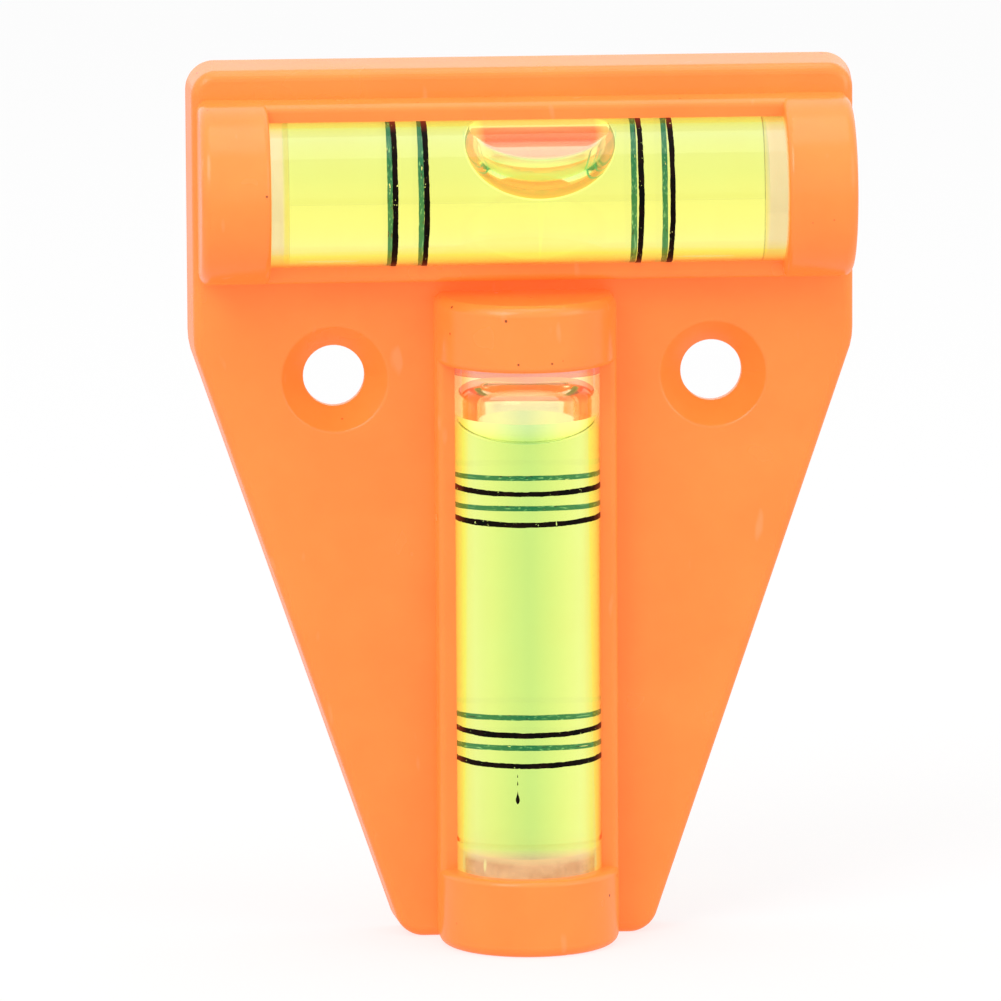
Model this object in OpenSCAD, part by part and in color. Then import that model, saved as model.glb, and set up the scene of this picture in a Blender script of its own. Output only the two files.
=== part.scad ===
// T-shaped bubble level: a moulded body that holds a level vial across its top and a second
// vial down its stem. The body stands on its foot, the front faces -Y and the stem runs up +Z.
// All sizes are in millimetres.

/* [Plate] */
// Thickness of the plate
plate_t = 4.2; // [3.8:0.1:5.2]
// How far the plate's sides stand out past the ends of the cross housing
side_strip = 0.35; // [0.2:0.05:3]
// Width of the plate's front face above the cross housing
top_strip = 1.95; // [1.6:0.05:5]
// Gap between the cross housing and the stem housing
stem_gap = 1; // [0.8:0.05:4]
// Width of the plate's foot on each side of the stem housing
foot_ledge = 2.35; // [2:0.05:5]
// How far below the axis of the cross vial the straight sides turn in towards the foot
shoulder_drop = 10.9; // [8:0.1:14]
// How far the sides lean out from front to back
side_draft = 0.25; // [0.05:0.05:0.4]
// Radius of the plate's front edge
plate_edge_r = 0.7; // [0.2:0.1:0.9]
// Radius of the two top corners
top_corner_r = 1.7; // [1:0.1:3]
// Radius of the two shoulders
shoulder_r = 5; // [2:0.5:9]
// Radius of the two foot corners
foot_corner_r = 2; // [1:0.1:2.6]

/* [Vials] */
// Outer diameter of a vial
vial_d = 10; // [9.4:0.1:10.4]
// Length of a vial
vial_len = 40; // [39:0.1:40.2]
// Bore of a vial at its middle, where the barrel-shaped bore is widest
bore_d = 6.6; // [5.4:0.1:7]
// How much the bore narrows from its middle to its ends
bore_barrel = 0.2; // [0.1:0.05:0.5]
// Thickness of the moulded closed end
closed_wall = 3.3; // [2:0.1:4]
// Distance from the open end to the liquid, taken up by the plug
plug_depth = 3.9; // [3:0.1:4.6]
// How far the plug sits inside the open end
plug_sink = 0.5; // [0.2:0.1:0.8]
// Distance between the two inner rings
ring_gap = 14.5; // [12:0.1:16]
// Distance from an inner ring to its outer ring
ring_pitch = 2.1; // [1:0.1:3]
// Width of a ring line
ring_w = 0.33; // [0.2:0.01:0.6]
// Depth of the groove that the ink of a ring fills
ring_depth = 0.12; // [0.08:0.01:0.2]

/* [Bubbles] */
// Length of the cross bubble along its vial
cross_bubble_len = 10.3; // [7:0.1:12]
// How far the cross bubble reaches below the axis of its vial
cross_bubble_dip = 0.25; // [0:0.05:0.6]
// Where the cross bubble rests, measured from the middle of the body
cross_bubble_x = 0.75; // [-2:0.05:2]
// Height of the stem bubble, from the closed end down to the liquid
stem_bubble_h = 4.05; // [3:0.05:6]
// Radius of the stem bubble's rounded underside
stem_bubble_dish_r = 5; // [4:0.5:12]
// Film of liquid between a bubble and the narrowest part of the bore
bubble_film = 0.1; // [0.05:0.05:0.3]
// Gap between a bubble and the liquid around it
bubble_gap = 0.08; // [0.04:0.02:0.12]

/* [Housings] */
// Thickness of the half-round wall in front of a vial
barrel_wall = 1.1; // [0.8:0.1:1.3]
// Clearance between a vial and the wall of its channel
vial_fit = 0.05; // [0.03:0.01:0.15]
// Room left beyond each end of a vial when it sits in the middle
vial_end_play = 0.4; // [0.3:0.05:0.5]
// How far each vial was pushed along its channel, towards its plug
vial_shift = 0.29; // [0:0.01:0.29]
// Distance from the plate's front face to the vial axis
axis_out = 1.95; // [1.6:0.05:2.2]
// Length of the window between the two end blocks
window_len = 34.9; // [32:0.1:36]
// Wall beyond each end of the cross channel
cross_end_wall = 1.75; // [1.4:0.05:1.8]
// Wall below the stem channel, the foot
stem_foot_wall = 2.35; // [1.4:0.05:2.4]
// Wall above the stem channel
stem_top_wall = 1.6; // [1:0.05:1.8]
// Radius of an end block's rounded edge beside the window
block_edge_r = 0.4; // [0.2:0.05:0.6]
// Radius of an end block's rounded edge at the end of its housing
block_end_r = 0.7; // [0.2:0.05:0.9]
// How far the side rails stand out in front of the vial axis
rail_out = 1.05; // [0.6:0.05:1.6]
// Radius of a rail's outer edge
rail_edge_r = 0.5; // [0.2:0.05:0.6]

/* [Screw holes] */
// Distance between the two screw holes
hole_spacing = 25.8; // [24:0.1:27]
// How far below the axis of the cross vial the screw holes are
hole_drop = 13.1; // [11.5:0.1:16]
// Diameter of a screw hole
hole_d = 4.2; // [3.6:0.1:4.6]
// Diameter of the countersink at the front face
sink_d = 7.3; // [6.4:0.1:7.8]
// Depth of the countersink
sink_depth = 1.8; // [1.2:0.1:2]
// Radius of the rounded lip round the countersink
sink_lip_r = 0.3; // [0.1:0.05:0.4]

/* [Back] */
// Thickness of the plate over the hollows in its back
floor_t = 2.5; // [2.3:0.1:3]
// Width of the rim round each hollow
rim_w = 1.7; // [1.2:0.1:2.2]
// Corner radius of a hollow
hollow_r = 0.8; // [0.5:0.1:1]
// Length of a glue bead along the vial
glue_len = 3.5; // [2:0.1:5]
// How far a glue bead stands out behind the vial
glue_over = 0.6; // [0.3:0.1:0.7]

/* [Hidden] */
$fn = 64;

orange = [1.00, 0.45, 0.14];
clear = [0.95, 0.95, 0.88, 0.35];
lime = [0.82, 0.93, 0.20, 0.6];
air = [1.00, 0.90, 0.75, 0.5];
ink = [0.05, 0.06, 0.05];

vial_r = vial_d / 2;
bore_r = bore_d / 2;
bore_end_r = (bore_d - bore_barrel) / 2;
channel_r = vial_r + vial_fit;
channel_len = vial_len + 2 * vial_end_play;
barrel_r = channel_r + barrel_wall;

// The depth of the whole body is centred on y = 0
depth = barrel_r + axis_out + plate_t;
back_y = depth / 2;
plate_y = back_y - plate_t;
axis_y = plate_y - axis_out;

// The stem stands on z = 0, the cross housing sits above it and the plate covers both
stem_z = stem_foot_wall + channel_len / 2;
stem_top = stem_z + channel_len / 2 + stem_top_wall;
cross_z = stem_top + stem_gap + barrel_r;
plate_h = cross_z + barrel_r + top_strip;
plate_w = channel_len + 2 * cross_end_wall + 2 * side_strip;
foot_w = 2 * barrel_r + 2 * foot_ledge;
shoulder_z = cross_z - shoulder_drop;
hole_z = cross_z - hole_drop;

// Along a vial the coordinate u is 0 at its middle and the plug is at the lower end
plug_u = -vial_len / 2 + plug_depth;
closed_u = vial_len / 2 - closed_wall;
ring_inner = ring_gap / 2;
ring_outer = ring_inner + ring_pitch;
ring_places = [-ring_outer, -ring_inner, ring_inner, ring_outer];

bubble_r = bore_end_r - bubble_film;
overlap = 0.5;
thin = 0.01;

// Rounded outlines

// Unit vector from one 2-D point to another
function toward(from, to) = (to - from) / norm(to - from);

// Centre of the round that replaces corner i of a list of [x, z, radius] corners
function round_centre(corners, i) =
    let (count = len(corners),
         here = [corners[i][0], corners[i][1]],
         before = corners[(i + count - 1) % count],
         after = corners[(i + 1) % count],
         a = toward(here, [before[0], before[1]]),
         b = toward(here, [after[0], after[1]]),
         half_angle = acos(a * b) / 2)
    here + toward([0, 0], a + b) * corners[i][2] / sin(half_angle);

// The two points where the round of corner i leaves the straight sides
function round_ends(corners, i) =
    let (count = len(corners),
         here = [corners[i][0], corners[i][1]],
         before = corners[(i + count - 1) % count],
         after = corners[(i + 1) % count],
         a = toward(here, [before[0], before[1]]),
         b = toward(here, [after[0], after[1]]),
         reach = corners[i][2] / tan(acos(a * b) / 2))
    [here + a * reach, here + b * reach];

// Polygon with its corners rounded, each by its own radius
module rounded_polygon(corners) {
    polygon([for (i = [0 : len(corners) - 1]) each round_ends(corners, i)]);
    for (i = [0 : len(corners) - 1])
        translate(round_centre(corners, i)) circle(corners[i][2]);
}

// Puts a drawing of the front view at depth y_front to y_back
module front_slab(y_front, y_back) {
    translate([0, y_back, 0]) rotate([90, 0, 0]) linear_extrude(y_back - y_front) children();
}

// Plate

plate_corners = [
    [-foot_w / 2, 0, foot_corner_r],
    [foot_w / 2, 0, foot_corner_r],
    [plate_w / 2, shoulder_z, shoulder_r],
    [plate_w / 2, plate_h, top_corner_r],
    [-plate_w / 2, plate_h, top_corner_r],
    [-plate_w / 2, shoulder_z, shoulder_r]
];

// Each slice is [depth, growth of the outline]: the drafted sides, then the rounded front edge
edge_steps = 6;
plate_slices = concat(
    [[back_y - thin, side_draft]],
    [for (step = [0 : edge_steps])
        let (turn = 90 * step / edge_steps)
        [plate_y + plate_edge_r * (1 - sin(turn)), -plate_edge_r * (1 - cos(turn))]]
);

module plate() {
    intersection() {
        hull()
            for (slice = plate_slices)
                for (i = [0 : len(plate_corners) - 1])
                    translate([round_centre(plate_corners, i)[0], slice[0] + thin,
                               round_centre(plate_corners, i)[1]])
                        rotate([90, 0, 0])
                            cylinder(r = plate_corners[i][2] + slice[1], h = thin, $fn = 48);
        translate([-plate_w, -depth, 0]) cube([2 * plate_w, 2 * depth, 2 * plate_h]);
    }
}

// The hollow in the back of one wing, as corners seen from the front
wing_lean = (plate_w - foot_w) / 2 / shoulder_z;
hollow_inner = channel_r + rim_w;
hollow_outer = plate_w / 2 - rim_w;
hollow_top = cross_z - channel_r - rim_w;
hollow_foot = 3 * rim_w;
hollow_corners = [
    [hollow_inner, hollow_foot, hollow_r],
    [foot_w / 2 + wing_lean * hollow_foot - rim_w * 0.8 + hollow_r, hollow_foot, hollow_r],
    [hollow_outer, shoulder_z - rim_w * wing_lean, hollow_r],
    [hollow_outer, hollow_top, hollow_r],
    [hollow_inner, hollow_top, hollow_r]
];

module back_hollows() {
    for (side = [0, 1])
        mirror([side, 0, 0])
            front_slab(plate_y + floor_t, back_y + overlap) rounded_polygon(hollow_corners);
}

// Countersunk screw hole with its axis along Y: a rounded lip at the front face, a cone and a round bore
sink_turn = atan2(sink_depth, (sink_d - hole_d) / 2);
lip_centre = sink_d / 2 + sink_lip_r * tan(sink_turn / 2);
lip_steps = 4;
screw_hole_outline = concat(
    [[0, -overlap], [lip_centre, -overlap]],
    [for (step = [0 : lip_steps])
        let (turn = sink_turn * step / lip_steps)
        [lip_centre - sink_lip_r * sin(turn), sink_lip_r * (1 - cos(turn))]],
    [[hole_d / 2, sink_depth], [hole_d / 2, plate_t + overlap], [0, plate_t + overlap]]
);

module screw_hole() {
    translate([0, plate_y, 0]) rotate([-90, 0, 0]) rotate_extrude() polygon(screw_hole_outline);
}

// Housings, drawn along u with the vial axis at the origin and the front towards -y

module on_cross_axis() {
    translate([0, axis_y, cross_z]) rotate([0, -90, 0]) children();
}

module on_stem_axis() {
    translate([0, axis_y, stem_z]) children();
}

// Half outline of an end block: a rectangle with its two outer corners rounded, for turning and widening
module block_half_outline(length, low_r, high_r) {
    square([barrel_r - low_r, length - high_r]);
    translate([0, low_r]) square([barrel_r, length - low_r - high_r]);
    translate([0, low_r]) square([barrel_r - high_r, length - low_r]);
    translate([barrel_r - low_r, low_r]) circle(low_r);
    translate([barrel_r - high_r, length - high_r]) circle(high_r);
}

// End block: a half-round front on a straight-sided root that runs into the plate
module end_block(from_u, length, low_r, high_r) {
    translate([0, 0, from_u]) {
        rotate([0, 0, 180]) rotate_extrude(angle = 180) block_half_outline(length, low_r, high_r);
        translate([0, axis_out + overlap, 0])
            rotate([90, 0, 0])
                linear_extrude(axis_out + overlap)
                    for (side = [0, 1])
                        mirror([side, 0, 0]) block_half_outline(length, low_r, high_r);
    }
}

// Cross-section of one rail: it follows the barrel, ends in a rounded edge and reaches in over the
// vial, where the channel trims it
rail_round_y = -rail_out + rail_edge_r;
rail_round_x = sqrt(pow(barrel_r - rail_edge_r, 2) - pow(rail_round_y, 2)) - thin;
rail_steps = 6;
rail_inside = 0.8 * vial_r;
rail_outside = barrel_r - 2 * thin;
rail_outline = concat(
    [[rail_inside, axis_out + overlap], [rail_outside, axis_out + overlap], [rail_outside, 0]],
    [for (step = [0 : rail_steps])
        let (turn = 90 * step / rail_steps)
        [rail_round_x + rail_edge_r * cos(turn), rail_round_y - rail_edge_r * sin(turn)]],
    [[rail_inside, -rail_out]]
);

module rails(length) {
    for (side = [0, 1])
        mirror([side, 0, 0])
            translate([0, 0, -length / 2]) linear_extrude(length) polygon(rail_outline);
}

// Two end blocks and the rails between them
module housing(wall_below, wall_above) {
    half_window = window_len / 2;
    half_channel = channel_len / 2;
    end_block(half_window, half_channel + wall_above - half_window, block_edge_r, block_end_r);
    end_block(-half_channel - wall_below, half_channel + wall_below - half_window, block_end_r, block_edge_r);
    rails(window_len + 2 * block_edge_r + 2 * overlap);
}

// Space for a vial: round in front, straight-sided and open at the back
module channel() {
    translate([0, 0, -channel_len / 2]) {
        rotate([0, 0, 180]) rotate_extrude(angle = 180) square([channel_r, channel_len]);
        translate([-channel_r, 0, 0]) cube([2 * channel_r, axis_out + plate_t + overlap, channel_len]);
    }
}

module body() {
    color(orange)
        difference() {
            union() {
                plate();
                on_cross_axis() housing(cross_end_wall, cross_end_wall);
                on_stem_axis() housing(stem_foot_wall, stem_top_wall);
            }
            on_cross_axis() channel();
            on_stem_axis() channel();
            back_hollows();
            for (side = [-1, 1])
                translate([side * hole_spacing / 2, 0, hole_z]) screw_hole();
        }
}

// Vials, drawn along u

// Moves a vial's pieces to where the vial sits in its channel
module in_cross() {
    on_cross_axis() translate([0, 0, -vial_shift]) children();
}

module in_stem() {
    on_stem_axis() translate([0, 0, -vial_shift]) children();
}

// Radius of the barrel-shaped bore at u
bore_middle = (closed_u + plug_u) / 2;
bore_half = (closed_u - plug_u) / 2;
function bore_radius(u) = bore_r - (bore_r - bore_end_r) * pow((u - bore_middle) / bore_half, 2);

bore_steps = 12;
bore_points = [for (step = [0 : bore_steps])
    let (u = plug_u + (closed_u - plug_u) * step / bore_steps)
    [bore_radius(u), u]];

// Outer wall of the tube with a groove for each ring
groove_points = [for (place = ring_places) each [
    [vial_r, place - ring_w / 2],
    [vial_r - ring_depth, place - ring_w / 2],
    [vial_r - ring_depth, place + ring_w / 2],
    [vial_r, place + ring_w / 2]
]];
tube_bevel = 0.3;

module vial_tube() {
    color(clear)
        rotate_extrude()
            polygon(concat(
                [[bore_end_r, -vial_len / 2],
                 [vial_r - tube_bevel, -vial_len / 2],
                 [vial_r, -vial_len / 2 + tube_bevel]],
                groove_points,
                [[vial_r, vial_len / 2 - tube_bevel],
                 [vial_r - tube_bevel, vial_len / 2],
                 [0, vial_len / 2],
                 [0, closed_u]],
                [for (step = [bore_steps : -1 : 0]) bore_points[step]]
            ));
}

module vial_plug() {
    color(clear)
        translate([0, 0, -vial_len / 2 + plug_sink])
            cylinder(r = bore_end_r, h = plug_depth - plug_sink);
}

module vial_ring(place) {
    color(ink)
        translate([0, 0, place - ring_w / 2])
            difference() {
                cylinder(r = vial_r, h = ring_w);
                translate([0, 0, -ring_w]) cylinder(r = vial_r - ring_depth, h = 3 * ring_w);
            }
}

// The whole space inside a sealed vial
module vial_space() {
    rotate_extrude() polygon(concat([[0, plug_u]], bore_points, [[0, closed_u]]));
}

// Bubbles

// The cross bubble is a ball trimmed by the bore. Its lowest point and its length along the top of
// the bore set the ball's radius.
bubble_rise = bubble_r + cross_bubble_dip;
ball_r = (pow(cross_bubble_len / 2, 2) + pow(bubble_rise, 2)) / (2 * bubble_rise);

module cross_bubble_shape(grow) {
    intersection() {
        translate([cross_bubble_x, axis_y, cross_z + ball_r - cross_bubble_dip]) sphere(ball_r + grow);
        translate([cross_bubble_x - cross_bubble_len, axis_y, cross_z])
            rotate([0, 90, 0]) cylinder(r = bubble_r + grow, h = 2 * cross_bubble_len);
    }
}

// The stem bubble fills the top of the bore and has a rounded underside
stem_bubble_top = closed_u - 2 * bubble_film;

module stem_bubble_shape(grow) {
    intersection() {
        translate([0, 0, stem_bubble_top - stem_bubble_h - grow])
            cylinder(r = bubble_r + grow, h = stem_bubble_h + 2 * grow);
        translate([0, 0, stem_bubble_top - stem_bubble_h + stem_bubble_dish_r])
            sphere(stem_bubble_dish_r + grow);
    }
}

// Glue bead: bridges the channel behind the vial, near one end
module glue_bead(end) {
    color(clear)
        difference() {
            translate([-channel_r, vial_r / 2, end * (vial_len / 2 - tube_bevel) - (end > 0 ? glue_len : 0)])
                cube([2 * channel_r, vial_r / 2 + glue_over, glue_len]);
            translate([0, 0, -vial_len]) cylinder(r = vial_r, h = 2 * vial_len);
        }
}

module cross_vial_tube() { in_cross() vial_tube(); }
module cross_vial_plug() { in_cross() vial_plug(); }
module cross_ring_outer_left() { in_cross() vial_ring(ring_outer); }
module cross_ring_inner_left() { in_cross() vial_ring(ring_inner); }
module cross_ring_inner_right() { in_cross() vial_ring(-ring_inner); }
module cross_ring_outer_right() { in_cross() vial_ring(-ring_outer); }
module cross_glue_left() { in_cross() glue_bead(1); }
module cross_glue_right() { in_cross() glue_bead(-1); }

module cross_liquid() {
    color(lime)
        difference() {
            in_cross() vial_space();
            cross_bubble_shape(bubble_gap);
        }
}

module cross_bubble() {
    color(air) cross_bubble_shape(0);
}

module stem_vial_tube() { in_stem() vial_tube(); }
module stem_vial_plug() { in_stem() vial_plug(); }
module stem_ring_outer_top() { in_stem() vial_ring(ring_outer); }
module stem_ring_inner_top() { in_stem() vial_ring(ring_inner); }
module stem_ring_inner_bottom() { in_stem() vial_ring(-ring_inner); }
module stem_ring_outer_bottom() { in_stem() vial_ring(-ring_outer); }
module stem_glue_top() { in_stem() glue_bead(1); }
module stem_glue_bottom() { in_stem() glue_bead(-1); }

module stem_liquid() {
    color(lime)
        in_stem()
            difference() {
                vial_space();
                stem_bubble_shape(bubble_gap);
            }
}

module stem_bubble() {
    color(air) in_stem() stem_bubble_shape(0);
}

body();
cross_vial_tube();
cross_vial_plug();
cross_liquid();
cross_bubble();
cross_ring_outer_left();
cross_ring_inner_left();
cross_ring_inner_right();
cross_ring_outer_right();
cross_glue_left();
cross_glue_right();
stem_vial_tube();
stem_vial_plug();
stem_liquid();
stem_bubble();
stem_ring_outer_top();
stem_ring_inner_top();
stem_ring_inner_bottom();
stem_ring_outer_bottom();
stem_glue_top();
stem_glue_bottom();
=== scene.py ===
# %% [markdown]
# This lesson dresses a small T-shaped bubble level. An orange moulded plate carries two clear vials:
# one lies across the top and shows whether the plate hangs straight, and one runs down the stem and
# shows whether it leans. The solids come from the CAD frame in metres, and nothing in that frame is
# moved. Blender adds what a solid model leaves out: clear plastic that bends light, a dyed liquid,
# bubbles with curved faces, printed rings and a moulded surface with marks of handling.

import math

import bmesh
import bpy
import numpy as np
from mathutils import Matrix, Vector


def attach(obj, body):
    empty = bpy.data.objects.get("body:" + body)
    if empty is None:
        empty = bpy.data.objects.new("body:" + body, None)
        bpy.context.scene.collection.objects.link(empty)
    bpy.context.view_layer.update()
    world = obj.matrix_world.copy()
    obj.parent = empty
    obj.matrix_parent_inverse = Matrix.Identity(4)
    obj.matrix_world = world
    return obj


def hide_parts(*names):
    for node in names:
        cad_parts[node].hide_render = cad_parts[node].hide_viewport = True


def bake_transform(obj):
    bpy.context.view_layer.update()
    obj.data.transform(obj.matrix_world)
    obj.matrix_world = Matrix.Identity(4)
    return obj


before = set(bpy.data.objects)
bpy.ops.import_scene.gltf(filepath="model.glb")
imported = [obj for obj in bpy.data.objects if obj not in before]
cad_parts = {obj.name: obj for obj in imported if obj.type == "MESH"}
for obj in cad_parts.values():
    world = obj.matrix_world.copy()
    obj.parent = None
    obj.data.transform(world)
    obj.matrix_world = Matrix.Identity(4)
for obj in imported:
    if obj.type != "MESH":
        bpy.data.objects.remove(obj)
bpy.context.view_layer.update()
scene = bpy.context.scene
MM = 0.001

# %% [markdown]
# The camera stands a good way off with a long lens, a little to the left of the level and a little
# above it, so the plate is almost square to the picture. Its place was found by matching corners of
# the solid model with the same corners in the picture. Writing the camera's own three axes as a
# matrix keeps the small roll that a plain look-at would lose.

# %% Camera
CAMERA_AT = Vector((-51.659, -778.261, 161.326)) * MM
CAMERA_AIM = Vector((-1.672, 1.9, 30.274)) * MM
CAMERA_ROLL = math.radians(-0.318)
CAMERA_LENS = 418.06
SENSOR_WIDTH = 36
CLIP_NEAR = 0.05
CLIP_FAR = 20


def camera_axes(place, aim, roll):
    """Right, up and back axes of a camera at place that looks at aim, turned by roll about its view."""
    forward = (aim - place).normalized()
    level_right = forward.cross(Vector((0, 0, 1))).normalized()
    level_up = level_right.cross(forward)
    right = level_right * math.cos(roll) + level_up * math.sin(roll)
    up = level_up * math.cos(roll) - level_right * math.sin(roll)
    return right, up, -forward


camera = bpy.data.objects.new("camera", bpy.data.cameras.new("camera"))
camera.data.sensor_width = SENSOR_WIDTH
camera.data.lens = CAMERA_LENS
camera.data.clip_start = CLIP_NEAR
camera.data.clip_end = CLIP_FAR
turn = Matrix(camera_axes(CAMERA_AT, CAMERA_AIM, CAMERA_ROLL)).transposed().to_4x4()
camera.matrix_world = Matrix.Translation(CAMERA_AT) @ turn
scene.collection.objects.link(camera)
scene.camera = camera
scene.view_settings.view_transform = "Standard"
print("camera lens in mm:", camera.data.lens)

# %% [markdown]
# A light tent is the usual way to photograph clear plastic: white everywhere, so that glass has
# something bright to show. The world is plain white wherever the camera, a reflection or a look
# through the clear parts meets it, and dimmer as a source of light, so that lamps can still give the
# plate its shape. Blender's Light Path node tells these rays apart. It marks a ray that went through
# glass as mirrored too, so the look through glass is chosen last.

# %% Light tent
TENT_LIGHT = 0.80
TENT_SEEN = 1.0


def by_ray(tree, gathering, mirrored, seen):
    """Socket that tells rays apart: those that gather light, mirror rays, and camera or see-through rays."""
    path = tree.nodes.new("ShaderNodeLightPath")
    straight = tree.nodes.new("ShaderNodeMath")
    straight.operation = "MAXIMUM"
    tree.links.new(path.outputs["Is Camera Ray"], straight.inputs[0])
    tree.links.new(path.outputs["Is Transmission Ray"], straight.inputs[1])
    mirror_mix = tree.nodes.new("ShaderNodeMix")
    mirror_mix.inputs["A"].default_value = gathering
    mirror_mix.inputs["B"].default_value = mirrored
    tree.links.new(path.outputs["Is Glossy Ray"], mirror_mix.inputs["Factor"])
    seen_mix = tree.nodes.new("ShaderNodeMix")
    seen_mix.inputs["B"].default_value = seen
    tree.links.new(straight.outputs[0], seen_mix.inputs["Factor"])
    tree.links.new(mirror_mix.outputs["Result"], seen_mix.inputs["A"])
    return seen_mix.outputs["Result"]


world = bpy.data.worlds.new("light_tent")
scene.world = world
world.use_nodes = True
tent = world.node_tree
tent_strength = by_ray(tent, TENT_LIGHT, TENT_SEEN, TENT_SEEN)
tent.links.new(tent_strength, tent.nodes["Background"].inputs["Strength"])
tent.nodes["Background"].inputs["Color"].default_value = (1, 1, 1, 1)
print("tent light", TENT_LIGHT)

# %% [markdown]
# The floor is mostly its own white glow, with some lit paint that keeps a soft shadow under the foot.
# It glows less as a source of light and in mirrors, so that the plate's lower faces stay in shade.

# %% Floor
FLOOR_HALF = 2.0
FLOOR_GLOW = 0.72
FLOOR_LIGHT = 0.35
FLOOR_MIRRORED = 0.36
FLOOR_PAINT = 0.27

floor_mesh = bpy.data.meshes.new("floor")
floor_corners = np.array([[-1, -1, 0], [1, -1, 0], [1, 1, 0], [-1, 1, 0]]) * FLOOR_HALF
floor_mesh.from_pydata(floor_corners.tolist(), [], [(0, 1, 2, 3)])
floor = bpy.data.objects.new("floor", floor_mesh)
scene.collection.objects.link(floor)
floor_paint = bpy.data.materials.new("white_floor")
floor_paint.use_nodes = True
paint = floor_paint.node_tree
paint.nodes.clear()
floor_out = paint.nodes.new("ShaderNodeOutputMaterial")
lit_paint = paint.nodes.new("ShaderNodeBsdfDiffuse")
lit_paint.inputs["Color"].default_value = (FLOOR_PAINT, FLOOR_PAINT, FLOOR_PAINT, 1)
floor_glow = paint.nodes.new("ShaderNodeEmission")
glow_strength = by_ray(paint, FLOOR_LIGHT, FLOOR_MIRRORED, FLOOR_GLOW)
paint.links.new(glow_strength, floor_glow.inputs["Strength"])
floor_sum = paint.nodes.new("ShaderNodeAddShader")
paint.links.new(lit_paint.outputs[0], floor_sum.inputs[0])
paint.links.new(floor_glow.outputs[0], floor_sum.inputs[1])
paint.links.new(floor_sum.outputs[0], floor_out.inputs["Surface"])
floor_mesh.materials.append(floor_paint)
print("floor of", 2 * FLOOR_HALF, "m")

# %% [markdown]
# Three soft lamps shape the plate: the main one at the upper left in front, a weak one at the right
# that opens the shadows, and one above that draws the highlights along the top edges. They are large
# for so small an object, because a large lamp gives soft shadows.

# %% Lamps
LEVEL_MIDDLE = (0, 0, 0.03)
# Each lamp's name, place in metres, side in metres and power in watts.
LAMPS = (
    ("key_lamp", (-0.45, -0.60, 0.65), 0.50, 2.4),
    ("fill_lamp", (0.70, -0.45, 0.35), 0.50, 0.8),
    ("top_lamp", (0.05, -0.10, 0.90), 0.60, 1.2),
)


def soft_lamp(name, place, aim, side, power):
    """A square lamp of the given side at place, turned to face aim, all in metres."""
    lamp = bpy.data.objects.new(name, bpy.data.lights.new(name, "AREA"))
    lamp.data.size = side
    lamp.data.energy = power
    lamp.location = place
    lamp.rotation_euler = (Vector(aim) - Vector(place)).to_track_quat("-Z", "Y").to_euler()
    scene.collection.objects.link(lamp)


for name, place, side, power in LAMPS:
    soft_lamp(name, place, LEVEL_MIDDLE, side, power)
print("lamps:", [name for name, *_ in LAMPS])

# %% [markdown]
# Every new piece here is a sheet of points: a function of two numbers, worked out for a whole grid at
# once. This helper turns such a grid into a mesh. Neighbouring points become four-sided faces, the
# columns join up into a ring, and points that fall together at a pole are merged so that the skin
# closes. Measures stay in millimetres until the last moment, when they are written in metres.

# %% From a grid of points to a piece
SHARP_ANGLE = math.radians(40)
MERGE_DISTANCE = 1e-8


def ring_faces(rows, columns, rows_join):
    """Corner numbers of a grid's faces: point (i, j) has number i * columns + j, and columns join up."""
    i = np.arange(rows if rows_join else rows - 1)[:, None]
    j = np.arange(columns)[None, :]
    below = ((i + 1) % rows) * columns
    beside = (j + 1) % columns
    corners = np.broadcast_arrays(i * columns + j, i * columns + beside, below + beside, below + j)
    return np.stack(corners, axis=-1).reshape(-1, 4)


def skin_piece(name, points, rows_join=False):
    """A piece whose skin runs through a grid of points (rows, columns, xyz) given in millimetres."""
    rows, columns = points.shape[:2]
    mesh = bpy.data.meshes.new(name)
    faces = ring_faces(rows, columns, rows_join)
    mesh.from_pydata((points.reshape(-1, 3) * MM).tolist(), [], faces.tolist())
    shell = bmesh.new()
    shell.from_mesh(mesh)
    bmesh.ops.remove_doubles(shell, verts=shell.verts, dist=MERGE_DISTANCE)
    bmesh.ops.recalc_face_normals(shell, faces=shell.faces)
    shell.to_mesh(mesh)
    shell.free()
    mesh.polygons.foreach_set("use_smooth", np.ones(len(mesh.polygons), dtype=bool))
    mesh.set_sharp_from_angle(angle=SHARP_ANGLE)
    piece = bpy.data.objects.new(name, mesh)
    scene.collection.objects.link(piece)
    print(name, "has", len(mesh.polygons), "faces")
    return piece


def second_material_first(piece, faces):
    """Give the first few faces of a piece its second material, and the rest its first one."""
    slots = np.zeros(len(piece.data.polygons), dtype=np.int32)
    slots[:faces] = 1
    piece.data.polygons.foreach_set("material_index", slots)


print("edges past", round(math.degrees(SHARP_ANGLE)), "degrees stay sharp")

# %% [markdown]
# The two vials are the same part, so their pieces are worked out once in the vial's own measures: how
# far along the tube from its middle, how far from its axis, and at what angle round it. This function
# carries such a point to its place in the level. The cross vial lies along X with its plug on the
# right, and the stem vial stands along Z with its plug at the bottom.

# %% Where the vials lie
AXIS_Y = 0.0
CROSS_MIDDLE_X = 0.29
CROSS_AXIS_Z = 51.9
STEM_MIDDLE_Z = 22.46
TURN_COLUMNS = 128


def in_vial(vial, along, radius, angle):
    """Point of a vial: along its axis from the middle, then radius out at an angle round that axis.
    The angle starts at the top of the cross vial and at the front of the stem vial."""
    along, radius, angle = np.broadcast_arrays(along, radius, angle)
    side = radius * np.sin(angle)
    ahead = radius * np.cos(angle)
    if vial == "cross":
        return np.stack([CROSS_MIDDLE_X - along, AXIS_Y - side, CROSS_AXIS_Z + ahead], axis=-1)
    return np.stack([side, AXIS_Y - ahead, STEM_MIDDLE_Z + along], axis=-1)


def full_turn(columns):
    """Angles of a whole turn in equal steps, without the last one, which is the first again."""
    return np.linspace(0, 2 * np.pi, columns, endpoint=False)


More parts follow.
